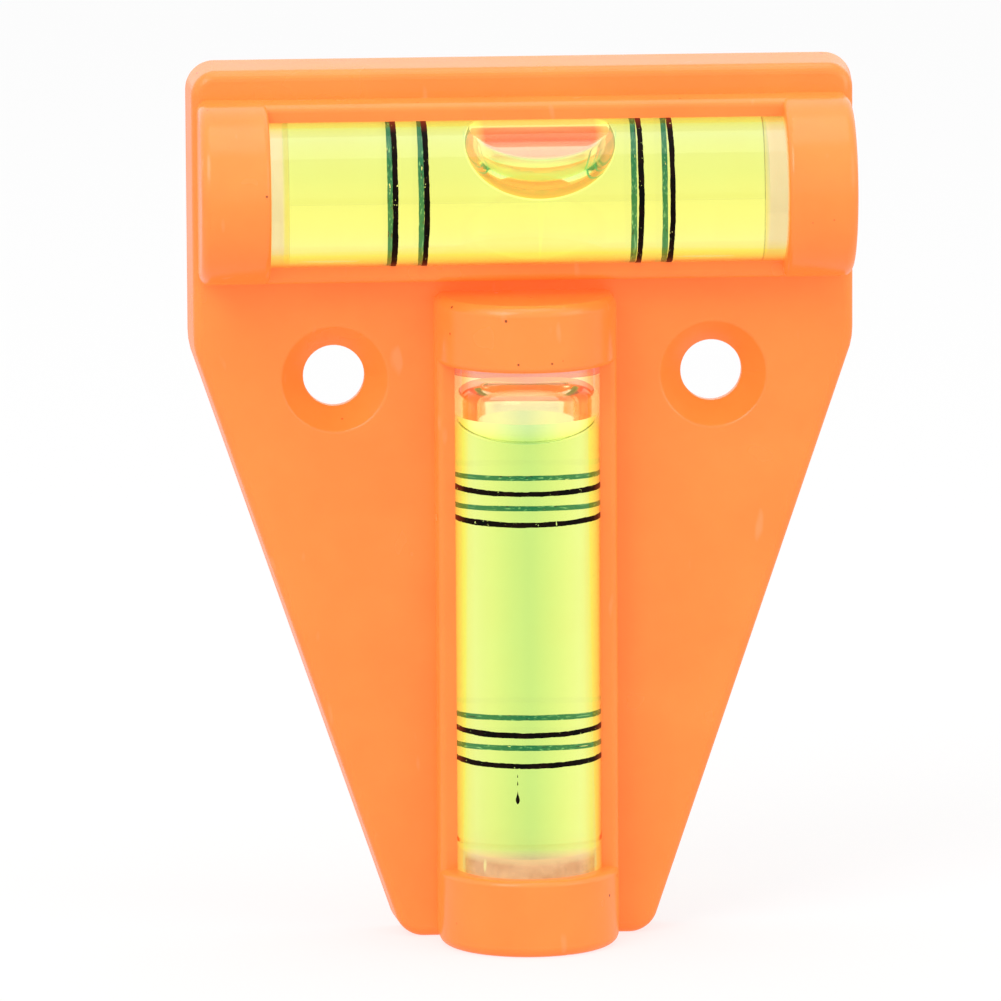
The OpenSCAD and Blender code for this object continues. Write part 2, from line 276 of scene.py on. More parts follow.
def rounded(before, corner, after, radius, steps=8):
    """Points of an arc that rounds the corner of two straight lines, starting and ending on them."""
    before, corner, after = (np.array(p, float) for p in (before, corner, after))
    back = (before - corner) / np.linalg.norm(before - corner)
    on = (after - corner) / np.linalg.norm(after - corner)
    half = np.arccos(np.clip(back @ on, -1, 1)) / 2
    middle = corner + (back + on) / np.linalg.norm(back + on) * radius / np.sin(half)
    first = corner + back * radius / np.tan(half) - middle
    last = corner + on * radius / np.tan(half) - middle
    share = np.linspace(0, 1, steps)[:, None]
    sweep = np.pi - 2 * half
    arc = np.sin((1 - share) * sweep) * first + np.sin(share * sweep) * last
    return middle + arc / np.sin(sweep)


def turned(vial, profile, columns=TURN_COLUMNS):
    """Grid of a profile of (along, radius) points carried once round the vial's axis."""
    return in_vial(vial, profile[:, :1], profile[:, 1:], full_turn(columns)[None, :])


print("cross vial at z", CROSS_AXIS_Z, "and stem vial middle at z", STEM_MIDDLE_Z, "mm")

# %% [markdown]
# The materials are made of a few small steps that come again and again: mix two colours by a mask,
# stretch a mask to a range, cut a number off to a mask, or measure how far a place lies from a line.
# Each step is a helper here. Places are Object coordinates, so a pattern stays on its piece.

# %% Helpers for material nodes
EVEN_BLEND = 0.5


def add_node(tree, kind, **settings):
    """A new node of a kind, with input sockets set by name, and other words set on the node itself."""
    node = tree.nodes.new(kind)
    for word, value in settings.items():
        socket = node.inputs.get(word.replace("_", " "))
        if socket is not None:
            socket.default_value = value
        else:
            setattr(node, word, value)
    return node


def colour_mix(tree, factor, low, high):
    """Colour socket that goes from low to high, colours or sockets, as the factor socket goes 0 to 1."""
    mix = tree.nodes.new("ShaderNodeMix")
    mix.data_type = "RGBA"
    tree.links.new(factor, mix.inputs["Factor"])
    # A Mix node has sockets for each kind of data: those for colours are 6 and 7, and 2 going out.
    for socket, colour in ((mix.inputs[6], low), (mix.inputs[7], high)):
        if isinstance(colour, tuple):
            socket.default_value = (*colour, 1)
        else:
            tree.links.new(colour, socket)
    return mix.outputs[2]


def spread(tree, value, low, high):
    """Number socket that goes from low to high as the value socket goes 0 to 1."""
    reach = add_node(tree, "ShaderNodeMapRange", To_Min=low, To_Max=high)
    tree.links.new(value, reach.inputs["Value"])
    return reach.outputs["Result"]


def ramp(tree, value, low, high):
    """Number socket that goes 0 to 1 as the value socket goes from low to high."""
    reach = add_node(tree, "ShaderNodeMapRange", From_Min=low, From_Max=high)
    tree.links.new(value, reach.inputs["Value"])
    return reach.outputs["Result"]


def product(tree, first, second):
    """Number socket with the product of two number sockets: a mask where both masks hold."""
    times = add_node(tree, "ShaderNodeMath", operation="MULTIPLY")
    tree.links.new(first, times.inputs[0])
    tree.links.new(second, times.inputs[1])
    return times.outputs[0]


def distance_along(tree, place, axis, start):
    """Number socket: how far, in mm and either way, a place lies from start along the X, Y or Z axis."""
    parts = tree.nodes.new("ShaderNodeSeparateXYZ")
    tree.links.new(place.outputs["Object"], parts.inputs["Vector"])
    away = add_node(tree, "ShaderNodeMath", operation="SUBTRACT")
    tree.links.new(parts.outputs[axis], away.inputs[0])
    away.inputs[1].default_value = start * MM
    both_ways = add_node(tree, "ShaderNodeMath", operation="ABSOLUTE")
    tree.links.new(away.outputs[0], both_ways.inputs[0])
    in_mm = add_node(tree, "ShaderNodeMath", operation="DIVIDE")
    tree.links.new(both_ways.outputs[0], in_mm.inputs[0])
    in_mm.inputs[1].default_value = MM
    return in_mm.outputs[0]


def turned_away(tree):
    """Number socket: 0 where a face looks at the eye and 1 where it is seen edge on."""
    return add_node(tree, "ShaderNodeLayerWeight", Blend=EVEN_BLEND).outputs["Facing"]


def make_clear(shader, index, blur=0.0):
    """Let all light through a shader, bent by an index of refraction and spread by some blur."""
    shader.inputs["Transmission Weight"].default_value = 1.0
    shader.inputs["IOR"].default_value = index
    shader.inputs["Roughness"].default_value = blur


print("node helpers for Blender", bpy.app.version_string)

# %% [markdown]
# Nothing that is handled stays perfect: it collects specks, fine scuffs and greasy smudges. That wear
# shows on the plastic plate and on the clear tubes alike, so it is one node group with its own numbers
# in each material. It only puts out masks. Slightly stretched noise that is cut off high gives short
# scuffs, cells cut off near their centres give specks, and broad noise gives smudges.

# %% Marks of handling
MARK_SCALES = ("Speck Scale", "Scratch Scale", "Smudge Scale")
SPECK_CUT = (0.09, 0.05)
SPECK_CHOICE = (0.60, 0.64)
SCRATCH_TURN = (0.5, 0.9, 0.3)
SCRATCH_STRETCH = (1.0, 1.0, 0.3)
SCRATCH_CUT = (0.72, 0.80)
SMUDGE_CUT = (0.35, 0.68)


def handling_marks_group():
    """Group with a place and three sizes coming in, and masks of specks, scratches and smudges going out."""
    tree = bpy.data.node_groups.new("handling_marks", "ShaderNodeTree")
    tree.interface.new_socket("Place", in_out="INPUT", socket_type="NodeSocketVector")
    for scale in MARK_SCALES:
        tree.interface.new_socket(scale, in_out="INPUT", socket_type="NodeSocketFloat")
    for mask in ("Specks", "Scratches", "Smudges"):
        tree.interface.new_socket(mask, in_out="OUTPUT", socket_type="NodeSocketFloat")
    join = tree.links.new
    coming = tree.nodes.new("NodeGroupInput")
    going = tree.nodes.new("NodeGroupOutput")

    cells = add_node(tree, "ShaderNodeTexVoronoi", feature="F1")
    join(coming.outputs["Place"], cells.inputs["Vector"])
    join(coming.outputs["Speck Scale"], cells.inputs["Scale"])
    near = ramp(tree, cells.outputs["Distance"], *SPECK_CUT)
    chosen = ramp(tree, cells.outputs["Color"], *SPECK_CHOICE)
    join(product(tree, near, chosen), going.inputs["Specks"])

    turned_place = add_node(tree, "ShaderNodeMapping", Rotation=SCRATCH_TURN, Scale=SCRATCH_STRETCH)
    join(coming.outputs["Place"], turned_place.inputs["Vector"])
    streaks = add_node(tree, "ShaderNodeTexNoise", Detail=1.0, Roughness=0.4)
    join(turned_place.outputs["Vector"], streaks.inputs["Vector"])
    join(coming.outputs["Scratch Scale"], streaks.inputs["Scale"])
    join(ramp(tree, streaks.outputs["Fac"], *SCRATCH_CUT), going.inputs["Scratches"])

    clouds = add_node(tree, "ShaderNodeTexNoise", Detail=3.0, Roughness=0.55)
    join(coming.outputs["Place"], clouds.inputs["Vector"])
    join(coming.outputs["Smudge Scale"], clouds.inputs["Scale"])
    join(ramp(tree, clouds.outputs["Fac"], *SMUDGE_CUT), going.inputs["Smudges"])
    return tree


handling_marks = handling_marks_group()


def start_material(name, mark_scales):
    """A new material, and the three nodes each one starts from: the shader, the place and the marks.
    mark_scales are the scales of its specks, scratches and smudges."""
    material = bpy.data.materials.new(name)
    material.use_nodes = True
    tree = material.node_tree
    shader = tree.nodes["Principled BSDF"]
    place = tree.nodes.new("ShaderNodeTexCoord")
    marks = tree.nodes.new("ShaderNodeGroup")
    marks.node_tree = handling_marks
    tree.links.new(place.outputs["Object"], marks.inputs["Place"])
    for socket, scale in zip(MARK_SCALES, mark_scales):
        marks.inputs[socket].default_value = scale
    return material, tree, shader, place, marks


print("marks group has", len(handling_marks.nodes), "nodes")

# %% [markdown]
# The plate is one moulding in fluorescent orange plastic. Such plastic turns part of the daylight it takes
# in into its own orange, and here that is a painted glow: the shader gives off a steady orange light of its
# own, which also lifts the plate's shadows. Light also sinks a little way into it, which softens its small
# shadows. The colour drifts slightly from place to place, the skin has a very fine grain from the steel of
# the mould, and specks and pale scuffs lie on top. The solid model's own mesh has the right shape, so it
# only gets this material.

# %% Orange plastic of the plate
ORANGE_DEEP = (0.93, 0.270, 0.050)
ORANGE_LIGHT = (0.96, 0.300, 0.058)
# Painted light: a steady orange glow of the plate's own, which lifts its shadows under any lamp.
ORANGE_PAINTED_GLOW = (1.0, 0.12, 0.016)
PAINTED_GLOW_STRENGTH = 0.45
SPECK_BROWN = (0.06, 0.008, 0.004)
SPECK_STRENGTH = 0.8
SCUFF_PALE = (1.0, 0.45, 0.22)
SCUFF_STRENGTH = 0.35
PLATE_MARKS = (700, 900, 160)
PLATE_ROUGHNESS = (0.20, 0.28)
SUNK_LIGHT = 0.15
SUNK_REACH = (1.0, 0.35, 0.12)
SUNK_DEPTH = 0.8 * MM
GRAIN_SCALE = 3200.0
GRAIN_STRENGTH = 0.25
GRAIN_DEPTH = 0.02 * MM


def dress_node(node, material):
    """Give a node of the solid model a new material in place of its plain one."""
    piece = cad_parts[node]
    piece.data.materials.clear()
    piece.data.materials.append(material)


orange, tree, shader, place, marks = start_material("orange_moulded_plastic", PLATE_MARKS)
body_colour = colour_mix(tree, marks.outputs["Smudges"], ORANGE_DEEP, ORANGE_LIGHT)
faint_scuff = spread(tree, marks.outputs["Scratches"], 0.0, SCUFF_STRENGTH)
scuffed = colour_mix(tree, faint_scuff, body_colour, SCUFF_PALE)
faint_speck = spread(tree, marks.outputs["Specks"], 0.0, SPECK_STRENGTH)
tree.links.new(colour_mix(tree, faint_speck, scuffed, SPECK_BROWN), shader.inputs["Base Color"])
tree.links.new(spread(tree, marks.outputs["Smudges"], *PLATE_ROUGHNESS), shader.inputs["Roughness"])
# Painted glow: the plate gives off orange light of its own everywhere except on the specks.
plate_painted_glow = colour_mix(tree, faint_speck, ORANGE_PAINTED_GLOW, SPECK_BROWN)
tree.links.new(plate_painted_glow, shader.inputs["Emission Color"])
shader.inputs["Emission Strength"].default_value = PAINTED_GLOW_STRENGTH
shader.inputs["Subsurface Weight"].default_value = SUNK_LIGHT
shader.inputs["Subsurface Radius"].default_value = SUNK_REACH
shader.inputs["Subsurface Scale"].default_value = SUNK_DEPTH
grain = add_node(tree, "ShaderNodeTexNoise", Scale=GRAIN_SCALE, Detail=2.0, Roughness=0.6)
tree.links.new(place.outputs["Object"], grain.inputs["Vector"])
grain_bump = add_node(tree, "ShaderNodeBump", Strength=GRAIN_STRENGTH, Distance=GRAIN_DEPTH)
tree.links.new(grain.outputs["Fac"], grain_bump.inputs["Height"])
tree.links.new(grain_bump.outputs["Normal"], shader.inputs["Normal"])
dress_node("body", orange)
print("orange plastic with a glow of", PAINTED_GLOW_STRENGTH)

# %% [markdown]
# Each vial is a thick-walled tube of clear acrylic with one closed end and one plugged end. A ray that
# goes from acrylic straight into liquid bends only once, at the bore. So the tube here is just its
# outer skin, a closed shape full of acrylic, and the liquid inside is a second closed shape whose
# index of refraction is given relative to acrylic. A bore skin of its own would add a film of air.
# The clear plastic has a warm tint, which is painted light of the orange housing round it. It deepens to a
# painted orange where the skin turns away, standing for light that has come along the orange channel, and
# most of all beside the air at the top of the stem, where that orange is painted on the tube by place.

# %% Clear tubes
TUBE_R = 5.04
TUBE_HALF = 20.0
TUBE_EDGE = 0.3
TUBE_WALL_INSET = 1.0
TUBE_END_RING = 4.0
TUBE_COLUMNS = 160
TUBE_MARKS = (500, 3000, 220)
SCRATCH_ROUGHNESS = 0.06
PLUG_SINK = 0.45
PLUG_R = 3.2
ACRYLIC_INDEX = 1.49
# Painted light of the orange housing: two warm tints of the tube, mixed at random by smudges.
CREAM_PAINTED_LIGHT = (1.0, 0.96, 0.53)
WARM_PAINTED_LIGHT = (1.0, 0.93, 0.49)
# How far the skin has turned away where the painted orange edge light starts, and where each of its tints is
# full.
EDGE_FROM = 0.30
EDGE_PAINTED_LIGHT = (
    (0.48, (1.0, 0.82, 0.08)),
    (0.66, (1.0, 0.50, 0.03)),
    (0.80, (1.0, 0.20, 0.01)),
)
# Painted orange light beside the stem's air, fixed to the tube by height.
PAINTED_ORANGE_BY_AIR = (1.0, 0.30, 0.09)
AIR_LEVEL_Z = 39.3
AIR_LEVEL_REACH = (3.6, 2.2)
AIR_SIDE_TURN = (0.28, 0.55)


def tube_profile():
    """(along, radius) outline of the tube from the sunk plug end, round both rims, to the closed end."""
    wall_end = TUBE_HALF - TUBE_WALL_INSET
    sunk = [(-TUBE_HALF + PLUG_SINK, 0), (-TUBE_HALF + PLUG_SINK, PLUG_R), (-TUBE_HALF, PLUG_R)]
    plug_rim = rounded((-TUBE_HALF, 0), (-TUBE_HALF, TUBE_R), (0, TUBE_R), TUBE_EDGE)
    wall = [(-wall_end, TUBE_R), (wall_end, TUBE_R)]
    closed_rim = rounded((0, TUBE_R), (TUBE_HALF, TUBE_R), (TUBE_HALF, 0), TUBE_EDGE)
    closed_end = [(TUBE_HALF, TUBE_END_RING), (TUBE_HALF, 0)]
    return np.vstack([sunk, plug_rim, wall, closed_rim, closed_end])


acrylic, tree, shader, place, marks = start_material("clear_acrylic_tube", TUBE_MARKS)
# The tube's tint is painted light: warm all over, orange where the skin turns away and beside the stem's
# air.
tube_tint_painted_light = colour_mix(tree, marks.outputs["Smudges"], CREAM_PAINTED_LIGHT, WARM_PAINTED_LIGHT)
facing = turned_away(tree)
low_turn = EDGE_FROM
for high_turn, edge_colour in EDGE_PAINTED_LIGHT:
    edge = ramp(tree, facing, low_turn, high_turn)
    tube_tint_painted_light = colour_mix(tree, edge, tube_tint_painted_light, edge_colour)
    low_turn = high_turn
air_level = ramp(tree, distance_along(tree, place, "Z", AIR_LEVEL_Z), *AIR_LEVEL_REACH)
painted_orange_beside_air = product(tree, air_level, ramp(tree, facing, *AIR_SIDE_TURN))
tube_tint_painted_light = colour_mix(tree, painted_orange_beside_air, tube_tint_painted_light, PAINTED_ORANGE_BY_AIR)
make_clear(shader, ACRYLIC_INDEX)
tree.links.new(tube_tint_painted_light, shader.inputs["Base Color"])
scratch_blur = spread(tree, marks.outputs["Scratches"], 0.0, SCRATCH_ROUGHNESS)
tree.links.new(scratch_blur, shader.inputs["Roughness"])

for vial in ("cross", "stem"):
    tube = skin_piece(f"{vial}_tube_clear", turned(vial, tube_profile(), columns=TUBE_COLUMNS))
    tube.data.materials.append(acrylic)
    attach(tube, "level")
    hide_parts(f"{vial}_vial_tube")

# %% [markdown]
# The liquid is a spirit with a fluorescent yellow-green dye. It bends light about as the tube does, so its
# index relative to acrylic is 1, and its colour comes from absorption: the longer the way through it, the
# deeper the colour. On top of that it is painted greener by place along the stem's middle, as painted shade
# where light crosses the most dye, and in the upper part of the cross vial, and elsewhere it has a faint
# painted glow. Each body of liquid is a fixed mesh, joined to no moving part.

# %% Dyed liquid
BORE_R = 3.3
BORE_END_R = 3.2
CLOSED_END = 16.7
PLUG_END = -16.06
LIQUID_MARKS = (300, 1000, 90)
LIQUID_INDEX = 1.0
DYE_PALE = (1.0, 1.0, 1.0)
DYE_WARM = (0.99, 1.0, 0.97)
# A faint painted glow of the dye: light of its own, given off under any lamp.
DYE_PAINTED_GLOW = (0.03, 0.03, 0.0)
NO_GLOW = (0.0, 0.0, 0.0)
DYE_DENSITY = 138.0
STEM_DYE = (0.79, 1.0, 0.0)
STEM_GREEN_PLACE = ("X", 0.0, 2.2, 0.2)
# Each dye's colour, its greener tint, and the place of that tint: an axis, a point on it in mm, and
# how far from there the tint ends and is full.
DYES = {
    "cross": ((0.97, 1.0, 0.0), (0.87, 0.975, 1.0), ("Z", CROSS_AXIS_Z + BORE_R, 4.3, 2.0)),
    "stem": (STEM_DYE, (0.77, 0.92, 1.0), STEM_GREEN_PLACE),
    "roof": (STEM_DYE, DYE_PALE, STEM_GREEN_PLACE),
}


def dye_material(name, colour, green, green_place):
    """Clear liquid that bends light as the tube does, with dye that soaks up some colours.
    It is painted greener near green_place: an axis, a place on it, and where that green ends and is full;
    elsewhere it has a faint painted glow."""
    material, tree, shader, place, marks = start_material(name, LIQUID_MARKS)
    haze = colour_mix(tree, marks.outputs["Smudges"], DYE_PALE, DYE_WARM)
    axis, start, ends, full = green_place
    greener = ramp(tree, distance_along(tree, place, axis, start), ends, full)
    tree.links.new(colour_mix(tree, greener, haze, green), shader.inputs["Base Color"])
    tree.links.new(colour_mix(tree, greener, DYE_PAINTED_GLOW, NO_GLOW), shader.inputs["Emission Color"])
    shader.inputs["Emission Strength"].default_value = 1.0
    make_clear(shader, LIQUID_INDEX)
    soak = add_node(tree, "ShaderNodeVolumeAbsorption", Color=(*colour, 1), Density=DYE_DENSITY)
    tree.links.new(soak.outputs[0], tree.nodes["Material Output"].inputs["Volume"])
    return material


dyes = {part: dye_material(f"lime_dyed_liquid_{part}", *recipe) for part, recipe in DYES.items()}


def dress_liquid(piece, vial, dye):
    """Give a piece of liquid its dye, write its place into its mesh, and hide the solid model's liquid that
    it stands in for.
    """
    piece.data.materials.append(dyes[dye])
    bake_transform(piece)
    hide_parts(f"{vial}_liquid")


print("dyes for", sorted(dyes))

# %% [markdown]
# In the stem the air gathers at the closed top end and fills the whole bore, and the liquid below climbs the
# wall, so its face is a bowl. The column of liquid is a profile turned round the axis, from the plug up the
# wall and back along the bowl. A very thin disc of liquid stays above the air. It has a dye of its own
# without the painted green tint, which would show as a band on so thin a disc.

# %% Liquid in the stem
DISH_RIM = 13.95
DISH_DEPTH = 1.65
DISH_POWER = 2.5
DISH_ROWS = 24
DISH_GAP = 0.015
FLOOR_ROUND = 0.15
FLOOR_RING = 2.4
WALL_ROW_DROPS = (1.2, 0.4)
ROOF_GAP = 0.01
ROOF_SKIN = 0.02


def dish(radius, gap):
    """Height of the liquid's face: a rounded-off ellipse that is flat on the axis and steep at the wall."""
    share = np.clip(radius / BORE_R, 0, 1)
    return DISH_RIM + gap - DISH_DEPTH * np.sqrt(1 - share**DISH_POWER)


dish_radius = BORE_R * np.sin(np.linspace(np.pi / 2, 0, DISH_ROWS))[:, None]
stem_base = [(PLUG_END, 0), (PLUG_END, FLOOR_RING)]
stem_floor = rounded((PLUG_END, 0), (PLUG_END, BORE_END_R), (0, BORE_END_R), FLOOR_ROUND)
stem_wall = [(DISH_RIM - drop, BORE_R) for drop in WALL_ROW_DROPS]
stem_face = np.hstack([dish(dish_radius, -DISH_GAP), dish_radius])
stem_column = np.vstack([stem_base, stem_floor, stem_wall, stem_face])
stem_liquid = skin_piece("stem_liquid_column", turned("stem", stem_column))
dress_liquid(stem_liquid, "stem", "stem")

roof_low = CLOSED_END + ROOF_GAP
roof_high = roof_low + ROOF_SKIN
roof_disc = [(roof_low, 0), (roof_low, BORE_END_R), (roof_high, BORE_END_R), (roof_high, 0)]
roof_liquid = skin_piece("stem_liquid_roof", turned("stem", np.array(roof_disc)))
dress_liquid(roof_liquid, "stem", "roof")

# %% [markdown]
# Air is the third clear stuff in the vial. Its skin bends light the other way, because its index is lower
# than that of the acrylic round it, and past a certain angle it mirrors. Those mirrored strips give a bubble
# its bright and dark edges, so the shape of its skin matters more than its colour. A little blur softens
# them, as the uneven bore does. Air has no colour of its own, so its tints are painted light and shade. The
# glowing dye and the orange plastic light the real skin, and that light is painted here too: a faint painted
# glow, a painted reflection colour where the skin mirrors, and painted belts of light along an axis.

# %% Clear air
AIR_MARKS = (300, 1000, 200)
# Air has no colour, so these tints, the glows and the mirror colours below are painted light and shade.
AIR_PAINTED_TINTS = ((0.84, 0.84, 0.80), (0.82, 0.81, 0.76))
AIR_LOW_PAINTED_LIGHT = (0.82, 0.88, 0.38)
AIR_HIGH_PAINTED_LIGHT = (0.84, 0.53, 0.70)
AIR_HEIGHTS = (1.1, 2.0)
AIR_PAINTED_GLOW = (0.08, 0.034, 0.010)
EDGE_PAINTED_REFLECTIONS = {"cross": (0.16, 0.32, 0.08), "stem": (0.22, 0.20, 0.04)}
AIR_INDEX = 1 / ACRYLIC_INDEX
MIRROR_TURN = 1 - math.sqrt(1 - 1 / ACRYLIC_INDEX**2)
MIRROR_BEFORE = 0.04
MIRROR_AFTER = 0.10


def air_material(name, index, blur, tints, painted_glow, painted_reflection=None, high_from=None, painted_belts=()):
    """Clear air of an index of refraction relative to what lies round it, and a skin of some blur.
    Its tints and glow are painted light and shade. Past the angle where the skin mirrors it takes on a
    painted reflection colour, and high_from starts a painted tint by height.
    Each painted belt of light has an axis, a place on it, where it starts and is full, and a colour."""
    material, tree, shader, place, marks = start_material(name, AIR_MARKS)
    tint = colour_mix(tree, marks.outputs["Smudges"], *tints)
    if high_from is not None:
        height = distance_along(tree, place, "Z", high_from)
        tint = colour_mix(tree, ramp(tree, height, *AIR_HEIGHTS), AIR_LOW_PAINTED_LIGHT, AIR_HIGH_PAINTED_LIGHT)
    tree.links.new(tint, shader.inputs["Base Color"])
    make_clear(shader, index, blur)
    shader.inputs["Emission Color"].default_value = (*painted_glow, 1)
    shader.inputs["Emission Strength"].default_value = 1.0
    if painted_reflection is None:
        return material
    edge = ramp(tree, turned_away(tree), MIRROR_TURN - MIRROR_BEFORE, MIRROR_TURN + MIRROR_AFTER)
    shine = colour_mix(tree, edge, painted_glow, painted_reflection)
    for axis, start, low, high, colour in painted_belts:
        belt = ramp(tree, distance_along(tree, place, axis, start), low, high)
        shine = colour_mix(tree, belt, shine, colour)
    tree.links.new(shine, shader.inputs["Emission Color"])
    return material


print("air mirrors where its skin has turned away by", round(MIRROR_TURN, 3))

# %% [markdown]
# The skin of the air in the stem runs along the bowl of the liquid's face, up the bore and into a dome
# under the closed end. Full bending at the bowl would hide the vial behind it under mirrored strips,
# which the real one hardly shows, so that face has a second material that bends light only weakly.

# %% Air in the stem
DOME_R = 1.75
DOME_STEPS = 24
DOME_RING = 1.2
AIR_WALL_UP = 0.3
STEM_BLUR = 0.12
# A painted belt of orange light under the dome of the stem's air.
STEM_PAINTED_BELTS = (("Z", STEM_MIDDLE_Z + CLOSED_END, 1.6, 0.9, (0.23, 0.115, 0.045)),)
FACE_INDEX = 1.04
# Painted light on the face over the liquid: a yellow tint and a faint glow.
FACE_PAINTED_TINTS = ((1.0, 1.0, 0.74), (0.98, 0.98, 0.68))
FACE_PAINTED_GLOW = (0.06, 0.06, 0.005)

stem_air = air_material(
    "air_in_stem", AIR_INDEX, STEM_BLUR, AIR_PAINTED_TINTS, AIR_PAINTED_GLOW, EDGE_PAINTED_REFLECTIONS["stem"], painted_belts=STEM_PAINTED_BELTS
)
still_air = air_material("air_over_liquid", 1 / FACE_INDEX, 0.0, FACE_PAINTED_TINTS, FACE_PAINTED_GLOW)

air_face = np.hstack([dish(dish_radius[::-1], 0), dish_radius[::-1]])
air_wall = [(DISH_RIM + AIR_WALL_UP, BORE_R)]
air_dome = rounded((0, BORE_R), (CLOSED_END, BORE_R), (CLOSED_END, 0), DOME_R, steps=DOME_STEPS)
air_roof = [(CLOSED_END, DOME_RING), (CLOSED_END, 0)]
air_outline = np.vstack([air_face, air_wall, air_dome, air_roof])
stem_bubble = skin_piece("stem_bubble_air", turned("stem", air_outline))
stem_bubble.data.materials.append(stem_air)
stem_bubble.data.materials.append(still_air)
second_material_first(stem_bubble, (len(air_face) - 1) * TURN_COLUMNS)
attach(stem_bubble, "stem_air")
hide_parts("stem_bubble")

# %% [markdown]
# In the cross vial the air lies along the top of the bore as a long bubble. Its lower face is part of
# an ellipsoid and its upper face is the bore itself. Both the bubble and the liquid round it are found
# by shooting straight lines from a point inside and taking the nearer of the two surfaces. Where they
# meet, the nearer one is chosen softly, because a real edge of liquid is round.

# %% Bubble in the cross vial
BUBBLE_X = 0.95
BUBBLE_HALF_LEN = 5.17
BUBBLE_HALF_HIGH = 2.75
BUBBLE_HALF_DEEP = 2.6
BUBBLE_MIDDLE_UP = 2.24
BUBBLE_INSIDE_UP = 1.5
SOFT_EDGE = 0.15
LEAST_ACROSS = 1e-6
CROSS_BLUR = 0.08
# Painted belts of light on the cross bubble, by height and towards its ends.
CROSS_PAINTED_BELTS = (
    ("Z", CROSS_AXIS_Z, 0.75, 0.90, (0.06, 0.27, 0.06)),
    ("Z", CROSS_AXIS_Z, 1.90, 2.30, AIR_PAINTED_GLOW),
    ("X", BUBBLE_X, 3.7, 4.4, (0.45, 0.42, 0.14)),
)


def nearer(first, second, soft):
    """The smaller of two distances, rounded off where they differ by less than soft."""
    blend = np.clip(1 - np.abs(first - second) / soft, 0, None)
    return np.minimum(first, second) - blend**2 * soft / 4


def far_hit(square, linear, rest):
    """Larger root of square * t * t + 2 * linear * t + rest = 0: where a line leaves a round shape."""
    return (-linear + np.sqrt(np.clip(linear**2 - square * rest, 0, None))) / square


def bubble_points(rows=200, columns=260):
    """Grid over all directions from a point inside the bubble: poles lie on its long axis.
    Each line stops at the ellipsoid or at the bore, whichever is nearer."""
    tilt = np.linspace(0, np.pi, rows)[:, None]
    angle = full_turn(columns)[None, :]
    dx = np.cos(tilt) + 0 * angle
    dy = np.sin(tilt) * np.sin(angle)
    dz = np.sin(tilt) * np.cos(angle)
    half = np.array([BUBBLE_HALF_LEN, BUBBLE_HALF_DEEP, BUBBLE_HALF_HIGH]) - DISH_GAP
    up = BUBBLE_INSIDE_UP - BUBBLE_MIDDLE_UP
    square = (dx / half[0]) ** 2 + (dy / half[1]) ** 2 + (dz / half[2]) ** 2
    to_ellipsoid = far_hit(square, dz * up / half[2] ** 2, (up / half[2]) ** 2 - 1)
    across = np.maximum(dy**2 + dz**2, LEAST_ACROSS)
    to_bore = far_hit(across, dz * BUBBLE_INSIDE_UP, BUBBLE_INSIDE_UP**2 - BORE_R**2)
    reach = nearer(to_ellipsoid, to_bore, SOFT_EDGE)
    inside = np.array([BUBBLE_X, AXIS_Y, CROSS_AXIS_Z + BUBBLE_INSIDE_UP])
    return inside + np.stack([reach * dx, reach * dy, reach * dz], axis=-1)


cross_bubble = skin_piece("cross_bubble_air", bubble_points())
cross_air = air_material(
    "air_in_cross",
    AIR_INDEX,
    CROSS_BLUR,
    AIR_PAINTED_TINTS,
    AIR_PAINTED_GLOW,
    EDGE_PAINTED_REFLECTIONS["cross"],
    high_from=CROSS_AXIS_Z,
    painted_belts=CROSS_PAINTED_BELTS,
)
cross_bubble.data.materials.append(cross_air)
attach(cross_bubble, "cross_air")
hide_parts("cross_bubble")

# %% [markdown]
# The liquid in the cross vial lies round the bubble and on both sides of it. A bubble that slides
# presses on one side and leaves room on the other, so the liquid is two halves that meet in a plane
# through the bubble's middle. Each half is a row of rings from the end of the bore to that plane, and
# where the bubble is nearer than the bore, a ring follows the bubble's lower face.

# %% Liquid in the cross vial
HALF_GAP = 0.004
LINES_FROM_UP = -1.8
RINGS_PAST_BUBBLE = 0.05
NO_HIT = 1e3
CAP_SHARES = (0.0, 0.93, 1.0)
CAP_SIZE = 0.97
WALL_FROM_END = 0.12


def near_hit(square, linear, rest):
    """Smaller root of far_hit's equation where the line does meet the shape ahead, and far off elsewhere."""
    under_root = linear**2 - square * rest
    root = (-linear - np.sqrt(np.clip(under_root, 0, None))) / square
    return np.where((under_root > 0) & (root > 0), root, NO_HIT)


